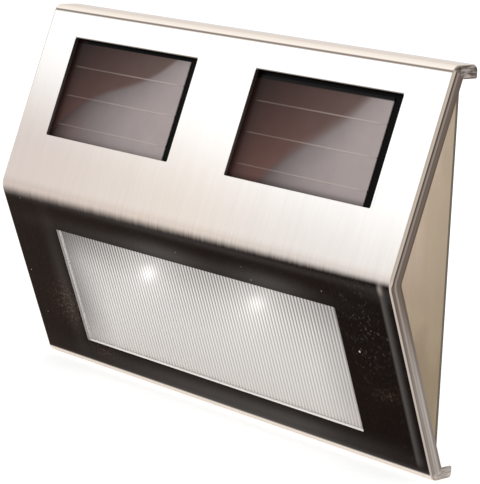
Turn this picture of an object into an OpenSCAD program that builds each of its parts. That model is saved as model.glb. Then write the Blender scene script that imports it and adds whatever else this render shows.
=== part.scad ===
// Solar step light for a wall or a stair riser: a folded steel housing with two solar panels above
// its ridge and a ribbed lens below it. X runs to the right as seen from the front, Y into the wall
// and Z up. The wall is the plane Y = 0, and the origin lies midway between the two keyholes.
// Along a slope, n is the depth under its outer face, v the way up from the ridge and u the way down.

/* [Housing] */
// Width over the side rims
body_w = 140; // [138:1:160]
// Height over the two flanges
body_h = 91; // [88:1:104]
// Depth from the wall to the corner of the ridge
body_d = 22.2; // [22:0.1:26]
// Height of the ridge above the bottom
ridge_h = 45.5; // [44:0.5:47]
// Depth of the top flange
top_flange = 6.2; // [5.8:0.1:8]
// Depth of the bottom flange
bottom_flange = 5; // [5:0.1:7]
// Thickness of the steel sheet
sheet = 0.8; // [0.6:0.1:0.9]
// Depth of the rims along both sides
rim_d = 3; // [2.4:0.1:3.6]
// Outer radius of the side edges
edge_r = 1.4; // [1.2:0.1:1.4]
// Outer radius of the bends at the flanges
bend_r = 2.1; // [1.5:0.1:2.4]
// Outer radius of the ridge
ridge_r = 5; // [4:0.5:8]
// Set-in of the side plates behind the rims
side_inset = 4.8; // [4.4:0.1:5.2]
// Width of the side plates' weld flanges
weld_w = 3.4; // [2.6:0.1:3.4]

/* [Panel windows] */
// Steel left between a panel window and the side rim
window_margin = 12.5; // [12.5:0.5:20]
// Steel left between the two panel windows
window_gap = 20.4; // [16:0.2:30]
// Steel left between the top bend and the panel windows
window_top = 7.8; // [7.6:0.1:12]
// Distance from the ridge up to the panel windows
window_up = 15; // [15:0.1:16]
// Corner radius of the punched windows
window_r = 0.6; // [0.3:0.1:1.5]
// Overlap of the panels behind the sheet
panel_lap = 1.6; // [1.2:0.1:1.6]
// Thickness of the panels' base
panel_t = 1.55; // [1.2:0.05:1.6]
// Thickness of the cell strips
cell_t = 0.25; // [0.2:0.05:0.3]
// Gap between two cell strips
cell_gap = 0.35; // [0.2:0.05:0.6]
// Bare border above the cells in the window
cell_top = 0.9; // [0.6:0.1:2]
// Bare border to the right of the cells in the window
cell_right = 3.6; // [1:0.1:5]
// Overlap of the cells behind the window's left and lower edges
cell_lap = 0.7; // [0.4:0.1:1.1]
// Height of the top cell strip that is cut away above the window
cell_rise = 0.6; // [0:0.1:2]
// Height of the bottom cell strip that is cut away below the window
cell_drop = 4; // [0:0.1:5]
// Number of cell strips in a panel
cell_count = 4; // [3:1:6]
// Thickness of the panel seals
panel_seal_t = 0.6; // [0.4:0.1:0.7]

/* [Lens] */
// Steel left between the lens window and the side rims
lens_margin = 19.9; // [19.9:0.1:28]
// Steel left between the lens window and the bottom bend
lens_bottom = 7.5; // [6.4:0.1:12]
// Distance from the ridge down to the lens window
lens_down = 9.4; // [9.4:0.1:9.8]
// Overlap of the lens behind the sheet
lens_lap = 1.6; // [1.2:0.1:1.6]
// Thickness of the lens behind its ribs
lens_t = 2; // [1.5:0.1:2]
// Number of ribs on the lens
rib_count = 92; // [60:1:110]
// Height of the ribs
rib_h = 0.3; // [0.1:0.05:0.35]
// Thickness of the lens seal
lens_seal_t = 0.4; // [0.4:0.05:0.5]

/* [Inner housing] */
// Wall thickness of the mouldings
wall = 1.2; // [1:0.1:1.3]
// Thickness of the seal under the back cover
back_seal_t = 0.8; // [0.6:0.1:0.9]
// Distance from the chamber's wall to the cover screws
screw_out = 5; // [4.6:0.1:5]
// Distance from the flanges to the cover screws
screw_in = 18.5; // [18:0.5:22]
// Radius of the cover screws' bosses
boss_r = 3.2; // [2.6:0.1:3.2]
// Radius of the lead holes behind the panels
lead_hole_r = 2; // [1.6:0.1:2.4]
// Distance from the middle to the lead holes
lead_x = 18; // [17:0.5:18.5]
// Height of the lead holes above the windows' lower edge
lead_up = 7; // [6:0.5:8]

/* [Back cover] */
// Thickness of the back cover
cover_t = 2.4; // [2.2:0.1:2.5]
// Thickness of the lip over the side plates' edges
lip_t = 0.7; // [0.5:0.1:1]
// Plate left between the battery door and the keyholes' entry holes
key_gap = 1; // [0.8:0.1:1.2]
// Distance between the two keyholes
key_spacing = 72; // [68:1:82]
// Radius of the keyholes' entry holes
key_r = 4.2; // [3.6:0.1:4.4]
// Width of the keyholes' slots
key_slot = 4.4; // [3.6:0.1:5]
// Length of the keyholes' slots
key_run = 7; // [5:0.5:7.5]
// Depth of the pockets behind the keyholes
key_depth = 3; // [2.6:0.1:3.1]
// Wall thickness of the pockets behind the keyholes
key_wall = 1; // [0.8:0.1:1.1]

/* [Battery] */
// Diameter of the cell
cell_d = 14.5; // [13.8:0.1:14.5]
// Length of the cell
cell_l = 50.5; // [48:0.5:50.5]
// Height of the cell's axis above the ridge
cell_up = 2.1; // [2:0.05:2.2]
// Room for the spring at the cell's end
spring_room = 4.6; // [4:0.1:5]
// Room for the contact plate at the other end
plate_room = 1.4; // [1.2:0.1:2]
// Thickness of the door
door_t = 1.6; // [1.5:0.1:1.8]
// Overlap of the door beyond the bay's long sides
door_lap = 2.6; // [2.4:0.1:2.8]
// Thickness of the door's seal
door_seal_t = 0.5; // [0.4:0.1:0.6]
// Thickness of the ledge under the door's seal
ledge_t = 1.4; // [1.2:0.1:1.6]
// Turns of the contact spring
spring_turns = 4; // [3:1:5]
// Diameter of the spring's wire
spring_wire = 0.7; // [0.5:0.1:0.8]

/* [Electronics] */
// Width of the circuit board
board_w = 54; // [54:1:58]
// Gap between the top of the circuit board and the panels' frame
board_gap = 0.5; // [0.3:0.1:1]
// Thickness of the circuit board
board_t = 1.6; // [1.4:0.1:1.6]
// Height of the posts under the circuit board
post_h = 4.2; // [4.2:0.1:4.4]
// Distance from the middle to the posts
post_x = 23; // [22:0.5:24]
// Distance between the two lamps
led_spacing = 40; // [30:1:46]
// Depth of the lamps' axes below the ridge
led_drop = 14.5; // [13:0.5:16]
// Diameter of the lamps
led_d = 5; // [4.6:0.1:5.2]
// Length of the lamps
led_l = 6.6; // [5.5:0.1:7]
// Thickness of the lamp board
led_board_t = 1.2; // [1:0.1:1.4]
// Wall thickness of the reflector
reflector_t = 0.8; // [0.6:0.1:1]
// Diameter of the leads
lead_d = 1; // [0.8:0.1:1.1]

/* [Switch] */
// Length of the switch body
switch_w = 8.6; // [8:0.1:10]
// Height of the switch body's case
switch_h = 4.4; // [4:0.1:5]
// Depth of the switch body
switch_d = 3.6; // [3.2:0.1:3.8]
// Width of the knob
knob_w = 2.6; // [2:0.1:2.8]
// Height of the knob
knob_h = 1.8; // [1.4:0.1:2]
// Travel of the knob from on to off
knob_travel = 2.5; // [2:0.1:2.5]

/* [Screws] */
// Radius of the cover screws' shanks
screw_r = 1.25; // [1:0.05:1.3]
// Radius of the cover screws' heads
head_r = 2.3; // [2:0.1:2.4]
// Thickness of the cover screws' heads
head_t = 1.3; // [1:0.1:1.3]
// Length of the cover screws' shanks
screw_l = 5.6; // [5:0.1:5.8]
// Radius of the small screws' shanks
small_r = 0.95; // [0.8:0.05:1]
// Radius of the small screws' heads
small_head_r = 1.9; // [1.6:0.1:2]
// Thickness of the small screws' heads
small_head_t = 0.9; // [0.7:0.1:1]
// Length of the small screws' shanks
small_l = 5; // [4:0.1:5.2]

/* [Hidden] */
$fn = 48;
// Facets round the bends and the side edges
bend_steps = 6;
ridge_steps = 8;
edge_steps = 5;
// Clearances: a general fit, a weld gap, a running fit for shanks, and an over-cut
fit = 0.1;
weld_gap = 0.05;
run = 0.05;
cut = 1;

// Side view of the housing: its corners as [y, z], and the two slopes
bay_r = cell_d / 2 + 2.5 * fit;
door_h = 2 * (bay_r + door_lap);
z_top = body_h - ridge_h - cell_up - door_h / 2 - fit - key_gap - key_r;
z_bot = z_top - body_h;
top = [-top_flange, z_top];
ridge = [-body_d, z_bot + ridge_h];
bot = [-bottom_flange, z_bot];
up_l = norm(top - ridge);
low_l = norm(bot - ridge);
up_dir = (top - ridge) / up_l;
low_dir = (bot - ridge) / low_l;
up_in = [up_dir[1], -up_dir[0]];
low_in = [-low_dir[1], low_dir[0]];
up_angle = atan2(up_dir[0], up_dir[1]);
low_angle = atan2(low_dir[0], -low_dir[1]);

// Windows and what lies behind them
win_in = window_gap / 2;
win_out = body_w / 2 - window_margin;
win_w = win_out - win_in;
win_x = (win_in + win_out) / 2;
window_h = up_l - window_up - window_top;
panel_w = win_w + 2 * panel_lap;
panel_h = window_h + 2 * panel_lap;
win_v = window_up + window_h / 2;
lead_v = window_up + lead_up;
lens_w = body_w - 2 * lens_margin;
lens_h = low_l - lens_down - lens_bottom;
lens_u = lens_down + lens_h / 2;
front_n = sheet + 2 * fit;
panel_n = sheet + panel_seal_t;
panel_floor = panel_n + cell_t + panel_t + fit;
panel_rear = panel_floor + wall;
lens_n = sheet + lens_seal_t;
lens_back = lens_n + lens_t;
lens_floor = lens_back + fit;
lens_rear = lens_floor + wall;
seal_lap = 0.3;

// Side plates, inner housing and back cover
plate_x = body_w / 2 - side_inset;
cover_x = plate_x - sheet - fit;
cover_top = z_top - sheet - fit;
cover_bot = z_bot + sheet + fit;
rear_y = -cover_t - back_seal_t;
inner_x = plate_x - sheet - weld_w - 4 * fit;
inner_v = window_up + window_h + panel_lap + fit + wall;
inner_u = lens_down + lens_h + lens_lap + fit + wall;
open_v = window_up - panel_lap - fit - wall;
open_u = lens_down - lens_lap - fit - wall;
chamber_in = lens_w / 2 + 5 * fit;
chamber_x = chamber_in + wall;
chamber_top = ridge[1] + inner_v * up_dir[1] + front_n * up_in[1];
chamber_bot = ridge[1] + inner_u * low_dir[1] + front_n * low_in[1];
screw_x = chamber_x + screw_out;
screw_z = [z_top - screw_in, z_bot + screw_in];
head_sink = 0.2;
hole_r = screw_r + 2.5 * fit;
tab_w = 9;
tab_reach = 3.5;

// Battery bay and door
bay_l = cell_l + spring_room + plate_room;
door_sink = 0.1;
ledge_y = -door_sink - door_t - door_seal_t;
bay_y = ledge_y - 1.5 * fit - cell_d / 2;
bay_z = ridge[1] + cell_up;
cell_x = (spring_room - plate_room) / 2;
bay_open = bay_l / 2 + wall + 5 * fit;
door_screw_x = bay_l / 2 + wall + small_head_r + 1.15;
door_w = 2 * door_screw_x + 2 * small_head_r + 4.7;
door_r = 2;
door_boss_r = 2.75;
small_hole = small_r + run;

// Boards and lamps
board_y = -cover_t - post_h;
board_front = board_y - board_t;
board_z0 = bay_z + bay_r + wall + 9 * fit;
board_h = up_z(board_front - board_gap, panel_rear) - board_z0;
board_z = board_z0 + board_h / 2;
led_z = ridge[1] - led_drop;
led_post = 1.4;
led_board_y = -cover_t - led_post;
led_front = led_board_y - led_board_t;
led_board_w = led_spacing + 24;
led_board_h = 8;
led_peg_x = led_spacing / 2 + 8;
led_post_r = 2;
led_pin_r = 0.8;
led_rim = 0.45;
reflector_y = led_front - 4 * fit;
reflector_top = ridge[1] + lens_down * low_dir[1] + lens_floor * low_in[1] - 2 * fit;
reflector_bot = ridge[1] + (lens_down + lens_h) * low_dir[1] + lens_rear * low_in[1] + 2 * fit;
reflector_step = led_z - led_board_h / 2 - 3;
tongue_y = rear_y - 2 * fit;
knob_tip = -0.5;
knob_foot = 0.9;
knob_gap = 0.3;
finger_sink = 1.4;
finger_w = 14;
finger_h = 8;
key_pocket = key_r + 0.8;

// Point [y, z] on a slope, and the y or the z where a slope's depth line crosses the other
function up_at(v, n) = ridge + v * up_dir + n * up_in;
function low_at(u, n) = ridge + u * low_dir + n * low_in;
function up_y(z, n) = ridge[0] + (n - (z - ridge[1]) * up_in[1]) / up_in[0];
function up_z(y, n) = ridge[1] + ((y - ridge[0]) * up_in[0] - n) / up_dir[0];
function low_y(z, n) = ridge[0] + (n - (z - ridge[1]) * low_in[1]) / low_in[0];

// Corner under two faces whose inward normals are a and b, at the same depth n
function corner(at, a, b, n) = at + n * (a + b) / (1 + a * b);

// Corner under the ridge, at depth n_up under the upper slope and n_low under the lower one
function ridge_at(n_up, n_low) =
    let (k = up_in * low_in, s = 1 - k * k)
    ridge + up_in * (n_up - k * n_low) / s + low_in * (n_low - k * n_up) / s;

function arc(center, r, a0, a1, steps) =
    [for (i = [0:steps]) let (a = a0 + (a1 - a0) * i / steps) center + r * [cos(a), sin(a)]];

function ridge_arc(n) =
    arc(corner(ridge, up_in, low_in, ridge_r), ridge_r - n, 180 - up_angle, 180 + low_angle, ridge_steps);

// Outline of the folded sheet in side view at depth n, closed at y_back
function outline(n, y_back) = concat(
    [[y_back, z_top - n]],
    arc(corner(top, [0, -1], up_in, bend_r), bend_r - n, 90, 180 - up_angle, bend_steps),
    ridge_arc(n),
    arc(corner(bot, low_in, [0, 1], bend_r), bend_r - n, 180 + low_angle, 270, bend_steps),
    [[y_back, z_bot + n]]
);

function unit(v) = v / norm(v);

// Direction of a route at its point i
function route_dir(p, i) =
    unit(unit(p[min(i + 1, len(p) - 1)] - p[min(i, len(p) - 2)])
        + unit(p[max(i, 1)] - p[max(i - 1, 0)]));

// Sideways directions along a route, each turned as little as possible from the last
function route_side(p, i, last, done = []) =
    i == len(p) ? done :
    let (t = route_dir(p, i), s = unit(last - (last * t) * t))
    route_side(p, i + 1, s, concat(done, [s]));

function tube_rings(p, r, sides, start) =
    let (side = route_side(p, 0, start))
    [for (i = [0:len(p) - 1])
        let (t = route_dir(p, i), s = side[i], w = cross(t, s))
        [for (k = [0:sides - 1]) p[i] + r * (cos(k * 360 / sides) * s + sin(k * 360 / sides) * w)]];

// Closed skin over rings of points that run round the way they are stacked
module skin(rings) {
    n = len(rings[0]);
    last = len(rings) - 1;
    sides = [for (i = [0:last - 1], k = [0:n - 1])
        [i * n + k, (i + 1) * n + k, (i + 1) * n + (k + 1) % n, i * n + (k + 1) % n]];
    ends = [[for (k = [0:n - 1]) k], [for (k = [n - 1:-1:0]) last * n + k]];
    polyhedron([for (r = rings) each r], concat(sides, ends), convexity = 6);
}

module tube(p, r, sides, start) {
    skin(tube_rings(p, r, sides, start));
}

// The housing's outline at depth n, as wide as w, with its side edges rounded to r
module rounded_body(w, n, r, y_back) {
    turn = 90 / edge_steps;
    half = [for (i = [0:edge_steps]) let (a = 90 - i * turn)
        [w / 2 - r + r * sin(a), n + r * (1 - cos(a))]];
    left = [for (h = half) [for (p = outline(h[1], y_back)) [-h[0], p[0], p[1]]]];
    right = [for (i = [edge_steps:-1:0]) [for (p = outline(half[i][1], y_back)) [half[i][0], p[0], p[1]]]];
    skin(concat(left, right));
}

module box(low, high) {
    translate(low) cube(high - low);
}

// A flat shape in [y, z], drawn out along X
module along_x(x0, x1) {
    translate([x0, 0, 0]) rotate([90, 0, 90]) linear_extrude(x1 - x0) children();
}

// A flat shape in [x, z], drawn out along Y
module along_y(y0, y1) {
    translate([0, y1, 0]) rotate([90, 0, 0]) linear_extrude(y1 - y0) children();
}

module rod_y(x, z, y0, y1, r) {
    translate([x, y0, z]) rotate([-90, 0, 0]) cylinder(h = y1 - y0, r = r);
}

module rod_x(y, z, x0, x1, r) {
    translate([x0, y, z]) rotate([0, 90, 0]) cylinder(h = x1 - x0, r = r);
}

module rounded(w, h, r) {
    square([w - 2 * r, h], center = true);
    square([w, h - 2 * r], center = true);
    for (x = [-1, 1], z = [-1, 1])
        translate([x * (w / 2 - r), z * (h / 2 - r)]) circle(r);
}

module plate(w, h) {
    square([w, h], center = true);
}

module frame(w, h, w_in, h_in) {
    difference() {
        plate(w, h);
        plate(w_in, h_in);
    }
}

// Places on the slopes: Y runs inwards and Z up along the slope from the ridge
module on_upper() {
    translate([0, ridge[0], ridge[1]]) rotate([-up_angle, 0, 0]) children();
}

module on_lower() {
    translate([0, ridge[0], ridge[1]]) rotate([low_angle, 0, 0]) children();
}

module at_window(side) {
    on_upper() translate([side * win_x, 0, win_v]) children();
}

module at_lens() {
    on_lower() translate([0, 0, -lens_u]) children();
}

module at_side(side) {
    mirror([side < 0 ? 1 : 0, 0, 0]) children();
}

module front_cover() color("lightgray") {
    difference() {
        rounded_body(body_w, 0, edge_r, 0);
        rounded_body(body_w - 2 * sheet, sheet, edge_r - sheet, cut);
        along_x(-body_w, body_w) polygon([
            [cut, z_top - rim_d], corner(top, [0, -1], up_in, rim_d),
            corner(ridge, up_in, low_in, rim_d), corner(bot, low_in, [0, 1], rim_d),
            [cut, z_bot + rim_d]]);
        for (side = [-1, 1])
            at_window(side) along_y(-cut, sheet + cut) rounded(win_w, window_h, window_r);
        at_lens() along_y(-cut, sheet + cut) rounded(lens_w, lens_h, window_r);
    }
}

module side_plate(side) color("tan") at_side(side) {
    weld_n = sheet + weld_gap;
    inner = plate_x - sheet;
    flange_end = 6;
    along_x(inner, plate_x) polygon(outline(weld_n + weld_gap, -lip_t));
    on_upper() box([inner - weld_w, weld_n, flange_end],
        [inner + sheet / 2, weld_n + sheet, up_l - flange_end]);
    on_lower() box([inner - weld_w, weld_n, flange_end - low_l],
        [inner + sheet / 2, weld_n + sheet, -flange_end]);
    for (z = screw_z)
        difference() {
            box([screw_x - tab_reach, -cover_t - sheet, z - tab_w / 2],
                [inner + sheet / 2, -cover_t, z + tab_w / 2]);
            rod_y(screw_x, z, -cover_t - sheet - cut, cut, hole_r);
        }
}

// Outline of the slopes' mouldings in side view, from their front down to the depths behind
function front_edge() =
    concat([up_at(inner_v, front_n)], ridge_arc(front_n), [low_at(inner_u, front_n)]);

module inner_housing() color("dimgray") {
    boss_y = [up_y(screw_z[0], panel_rear), low_y(screw_z[1], lens_rear)];
    difference() {
        union() {
            intersection() {
                along_x(-inner_x, inner_x) polygon(concat(front_edge(), [
                    low_at(inner_u, lens_rear), ridge_at(panel_rear, lens_rear),
                    up_at(inner_v, panel_rear)]));
                box([-body_w, -body_d, z_bot], [body_w, rear_y, z_top]);
            }
            along_x(-chamber_x, chamber_x)
                polygon(concat(front_edge(), [[rear_y, chamber_bot], [rear_y, chamber_top]]));
            for (side = [-1, 1], i = [0, 1])
                rod_y(side * screw_x, screw_z[i], boss_y[i] - wall, rear_y, boss_r);
        }
        along_x(-chamber_in, chamber_in) polygon([
            [up_y(chamber_top - wall, panel_rear), chamber_top - wall],
            ridge_at(panel_rear, lens_rear),
            [low_y(chamber_bot + wall, lens_rear), chamber_bot + wall],
            [cut, chamber_bot + wall], [cut, chamber_top - wall]]);
        for (side = [-1, 1], i = [0, 1])
            rod_y(side * screw_x, screw_z[i], boss_y[i] - 2 * fit, cut, screw_r + run);
        for (side = [-1, 1]) {
            at_window(side) along_y(-cut, panel_floor) plate(panel_w + 2 * fit, panel_h + 2 * fit);
            on_upper() rod_y(side * lead_x, lead_v, panel_floor - cut, panel_rear + cut, lead_hole_r);
        }
        at_lens() along_y(-cut, lens_floor)
            plate(lens_w + 2 * lens_lap + 2 * fit, lens_h + 2 * lens_lap + 2 * fit);
        at_lens() along_y(0, lens_rear + cut) plate(lens_w, lens_h);
        on_upper() box([-bay_open, -cut, -cut], [bay_open, panel_rear + cut, open_v]);
        on_lower() box([-bay_open, -cut, -open_u], [bay_open, lens_rear + cut, cut]);
    }
}

module solar_panel(side) color([0.05, 0.05, 0.06]) {
    at_window(side) along_y(panel_n + cell_t, panel_n + cell_t + panel_t) plate(panel_w, panel_h);
}

module solar_cells(side) color([0.16, 0.12, 0.1]) {
    pitch = (window_h + cell_rise + cell_drop) / cell_count;
    start = window_h / 2 + cell_rise;
    high = window_h / 2 - cell_top;
    low = -window_h / 2 - cell_lap;
    at_window(side) for (i = [0:cell_count - 1])
        box([-win_w / 2 - cell_lap, panel_n, max(low, start - (i + 1) * pitch + cell_gap / 2)],
            [win_w / 2 - cell_right, panel_n + cell_t, min(high, start - i * pitch - cell_gap / 2)]);
}

module panel_seal(side) color("black") {
    at_window(side) along_y(sheet, panel_n)
        frame(panel_w, panel_h, win_w + 2 * seal_lap, window_h + 2 * seal_lap);
}

// The ribs are V-shaped ridges over the lens window, and their valleys lie on the lens's face
module lens() color([0.85, 0.86, 0.88, 0.7]) {
    ribs_w = lens_w - 2 * seal_lap;
    pitch = ribs_w / rib_count;
    ribs = [for (i = [0:2 * rib_count]) [i * pitch / 2 - ribs_w / 2, i % 2 * rib_h]];
    at_lens() {
        along_y(lens_n, lens_back) plate(lens_w + 2 * lens_lap, lens_h + 2 * lens_lap);
        translate([0, lens_n + fit, seal_lap - lens_h / 2]) mirror([0, 1, 0])
            linear_extrude(lens_h - 2 * seal_lap)
            polygon(concat([for (p = ribs) p + [0, fit]], [[ribs_w / 2, 0], [-ribs_w / 2, 0]]));
    }
}

module lens_seal() color("silver") {
    at_lens() along_y(sheet, lens_n)
        frame(lens_w + 2 * lens_lap, lens_h + 2 * lens_lap, lens_w + 2 * seal_lap, lens_h + 2 * seal_lap);
}

// Outline of the reflector in side view, drawn in from its own outer face by t
module reflector_shape(t, depth) {
    polygon([
        [low_y(reflector_top - t, depth), reflector_top - t], [reflector_y - t, reflector_top - t],
        [reflector_y - t, reflector_step - t], [tongue_y - t, reflector_step - t],
        [tongue_y - t, reflector_bot + t], [low_y(reflector_bot + t, depth), reflector_bot + t]]);
}

module reflector() color("white") {
    x = lens_w / 2 - fit;
    difference() {
        along_x(-x, x) reflector_shape(0, lens_floor);
        along_x(reflector_t - x, x - reflector_t) reflector_shape(reflector_t, lens_floor - cut);
        for (side = [-1, 1])
            rod_y(side * led_spacing / 2, led_z, reflector_y - cut, reflector_y + cut,
                led_d / 2 + led_rim + 2 * fit);
    }
}

module led_board() color("darkgreen") {
    difference() {
        along_y(led_front, led_board_y) translate([0, led_z]) plate(led_board_w, led_board_h);
        for (side = [-1, 1])
            rod_y(side * led_peg_x, led_z, led_front - cut, led_board_y + cut, led_pin_r + fit);
    }
}

module led(side) color([1, 1, 0.95]) {
    rim_t = 1;
    r = led_d / 2;
    translate([side * led_spacing / 2, led_front, led_z]) rotate([90, 0, 0]) {
        cylinder(h = rim_t, r = r + led_rim);
        cylinder(h = led_l - r, r = r);
        translate([0, 0, led_l - r]) intersection() {
            sphere(r);
            cylinder(h = r, r = r);
        }
    }
}

module circuit_board() color("darkgreen") {
    difference() {
        along_y(board_front, board_y) translate([0, board_z]) plate(board_w, board_h);
        for (side = [-1, 1])
            rod_y(side * post_x, board_z, board_front - cut, board_y + cut, small_r + fit);
    }
}

// A block on the front of the circuit board, at x from its middle and at a share of its height
module on_board(x, share, w, h, t) {
    z = board_z + share * board_h;
    box([x - w / 2, board_front - t, z - h / 2], [x + w / 2, board_front, z + h / 2]);
}

module driver_chip() color("black") {
    x = -9;
    share = -0.15;
    chip = [5, 3.4, 1.4];
    lead = [0.4, 1.2, 0.3];
    lead_pitch = 1.27;
    on_board(x, share, chip[0], chip[1], chip[2]);
    for (i = [-1.5:1.5], side = [-1, 1])
        translate([0, 0, side * (chip[1] / 2 + lead[1] / 3)])
            on_board(x + i * lead_pitch, share, lead[0], lead[1], lead[2]);
}

module coil() color("saddlebrown") {
    coil_r = 2.5;
    coil_t = 1.9;
    rod_y(6, board_z - board_h / 5, board_front - coil_t, board_front, coil_r);
}

module capacitor() color("goldenrod") {
    on_board(13.5, -0.2, 3.5, 2.8, 1.8);
}

module resistors() color("dimgray") {
    spacing = 4.3;
    for (i = [0:3])
        on_board(i * spacing - 4.5, 0.22, 2, 1.2, 0.5);
}

module screw(r, r_head, t_head, l) {
    rotate([90, 0, 0]) {
        cylinder(h = l, r = r);
        translate([0, 0, -t_head]) difference() {
            cylinder(h = t_head, r = r_head);
            translate([0, 0, t_head / 2]) rotate([180, 0, 0]) {
                translate([-r_head / 2, -r_head / 8, 0]) cube([r_head, r_head / 4, t_head]);
                translate([-r_head / 8, -r_head / 2, 0]) cube([r_head / 4, r_head, t_head]);
            }
        }
    }
}

module board_screws() color("silver") {
    for (side = [-1, 1])
        translate([side * post_x, board_front, board_z]) rotate([180, 0, 0])
            screw(small_r, small_head_r, small_head_t, board_t + post_h - 2 * wall);
}

module switch_body() color("gray") {
    slot_w = knob_w + knob_travel + 2 * run;
    difference() {
        box([-switch_w / 2, board_y, board_z - switch_h / 2],
            [switch_w / 2, board_y + switch_d, board_z + switch_h / 2]);
        box([-slot_w / 2, board_y + switch_d - knob_foot, board_z - knob_h / 2 - run],
            [slot_w / 2, board_y + switch_d + cut, board_z + knob_h / 2 + run]);
    }
}

// The knob rests in its place for on, to the right as seen from the front
module switch_knob() color("white") {
    foot_y = board_y + switch_d - knob_foot + run;
    x = knob_travel / 2;
    grip = knob_w / 4;
    difference() {
        box([x - knob_w / 2, foot_y, board_z - knob_h / 2],
            [x + knob_w / 2, knob_tip, board_z + knob_h / 2]);
        for (i = [-1, 1])
            box([x + i * grip - grip / 4, knob_tip - grip / 2, board_z - knob_h],
                [x + i * grip + grip / 4, cut, board_z + knob_h]);
    }
}

module battery() color("seagreen") {
    nub_l = 1.5;
    nub_r = 2.75;
    x0 = cell_x - cell_l / 2;
    rod_x(bay_y, bay_z, x0, x0 + cell_l - nub_l, cell_d / 2);
    rod_x(bay_y, bay_z, x0 + cell_l - nub_l, x0 + cell_l, nub_r);
}

module battery_spring() color("silver") {
    rings = 12 * spring_turns;
    wide = 5;
    narrow = 2.8;
    x0 = spring_wire / 2 + run - bay_l / 2;
    x1 = spring_room - spring_wire / 2 - run - bay_l / 2;
    tube([for (i = [0:rings])
        let (s = i / rings, a = 360 * spring_turns * s, r = wide + (narrow - wide) * s)
        [x0 + (x1 - x0) * s, bay_y + r * cos(a), bay_z + r * sin(a)]],
        spring_wire / 2, 6, [1, 0, 0]);
}

module battery_plate() color("silver") {
    half = 4.5;
    x = bay_l / 2 - run;
    box([x - plate_room + run + fit, bay_y - half, bay_z - half], [x, bay_y + half, bay_z + half]);
}

module battery_door() color([0.12, 0.12, 0.12]) {
    difference() {
        translate([0, 0, bay_z]) along_y(-door_sink - door_t, -door_sink) rounded(door_w, door_h, door_r);
        for (side = [-1, 1]) {
            rod_y(side * door_screw_x, bay_z, -cover_t - door_t, cut, small_r + 2 * fit);
            rod_y(side * door_screw_x, bay_z, -door_sink - small_head_t - fit, cut, small_head_r + 2 * fit);
        }
    }
}

module door_seal() color("black") {
    seal_w = 1.4;
    translate([0, 0, bay_z]) along_y(ledge_y, ledge_y + door_seal_t)
        frame(bay_l + 2 * (fit + seal_w), 2 * (bay_r + fit + seal_w), bay_l + 2 * fit, 2 * (bay_r + fit));
}

module door_screws() color("silver") {
    for (side = [-1, 1])
        translate([side * door_screw_x, -door_sink - small_head_t - fit, bay_z])
            screw(small_r, small_head_r, small_head_t, small_l);
}

module keyhole() {
    circle(key_r);
    translate([-key_slot / 2, 0]) square([key_slot, key_run]);
    translate([0, key_run]) circle(key_slot / 2);
}

// The bay's trough, grown by t on its outside and reaching back to y1
module bay(t, y1) {
    x = bay_l / 2 + t;
    rod_x(bay_y, bay_z, -x, x, bay_r + t);
    box([-x, bay_y, bay_z - bay_r - t], [x, y1, bay_z + bay_r + t]);
}

// Block behind the plate at a keyhole, grown by t on its outside, which stays behind the panels
module key_block(side, t, y1) {
    x = side * key_spacing / 2;
    reach = key_pocket + t;
    n = panel_rear + 2 * fit + key_wall - t;
    intersection() {
        box([x - reach, -cover_t - key_depth - t, -reach], [x + reach, y1, key_run + reach]);
        along_x(-body_w, body_w) polygon([
            up_at(-up_l, n), up_at(2 * up_l, n), [cut, z_top + up_l], [cut, z_bot]]);
    }
}

// Everything of the back cover on one side of the middle that stands in towards the front
module cover_posts(side) {
    rod_y(side * door_screw_x, bay_z, ledge_y - small_l - 2 * wall, ledge_y - ledge_t / 2, door_boss_r);
    rod_y(side * post_x, board_z, board_y, -cover_t / 2, small_head_r + 6 * fit);
    rod_y(side * led_peg_x, led_z, led_board_y, -cover_t / 2, led_post_r);
    rod_y(side * led_peg_x, led_z, led_front - 2 * fit, led_board_y + fit, led_pin_r);
    key_block(side, key_wall, -cover_t / 2);
}

// Every hole and recess of the back cover on one side of the middle
module cover_holes(side) {
    rod_y(side * door_screw_x, bay_z, ledge_y - small_l, cut, small_hole);
    rod_y(side * post_x, board_z, board_y - cut, -cover_t - wall, small_hole);
    translate([side * key_spacing / 2, 0, 0]) along_y(-cover_t - cut, cut) keyhole();
    key_block(side, 0, -cover_t);
    for (z = screw_z) {
        rod_y(side * screw_x, z, -cover_t - cut, cut, hole_r);
        rod_y(side * screw_x, z, -head_sink - head_t, cut, head_r + 3 * fit);
    }
}

module back_cover() color([0.1, 0.1, 0.1]) {
    knob_room = [knob_w + knob_travel + 2 * knob_gap, knob_h + 2 * knob_gap];
    difference() {
        union() {
            box([-cover_x, -cover_t, cover_bot], [cover_x, 0, cover_top]);
            box([-plate_x, -lip_t, cover_bot], [plate_x, 0, cover_top]);
            translate([0, 0, bay_z]) along_y(ledge_y - ledge_t, -cover_t / 2)
                plate(door_w + 2 * (fit + wall), door_h + 2 * (fit + wall));
            bay(wall, -cover_t / 2);
            for (side = [-1, 1])
                cover_posts(side);
        }
        bay(0, cut);
        translate([0, 0, bay_z]) along_y(ledge_y, cut)
            rounded(door_w + 2 * fit, door_h + 2 * fit, door_r + fit);
        for (side = [-1, 1])
            cover_holes(side);
        translate([0, 0, board_z]) along_y(-finger_sink, cut) rounded(finger_w, finger_h, door_r);
        translate([0, 0, board_z]) along_y(-cover_t - cut, cut) plate(knob_room[0], knob_room[1]);
    }
}

module back_seal() color("black") {
    h = chamber_top - chamber_bot;
    translate([0, 0, (chamber_top + chamber_bot) / 2]) along_y(rear_y, -cover_t)
        frame(2 * chamber_x, h, 2 * chamber_in, h - 2 * wall);
}

module cover_screws() color("silver") {
    for (side = [-1, 1], z = screw_z)
        translate([side * screw_x, -head_sink - head_t, z]) screw(screw_r, head_r, head_t, screw_l);
}

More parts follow.
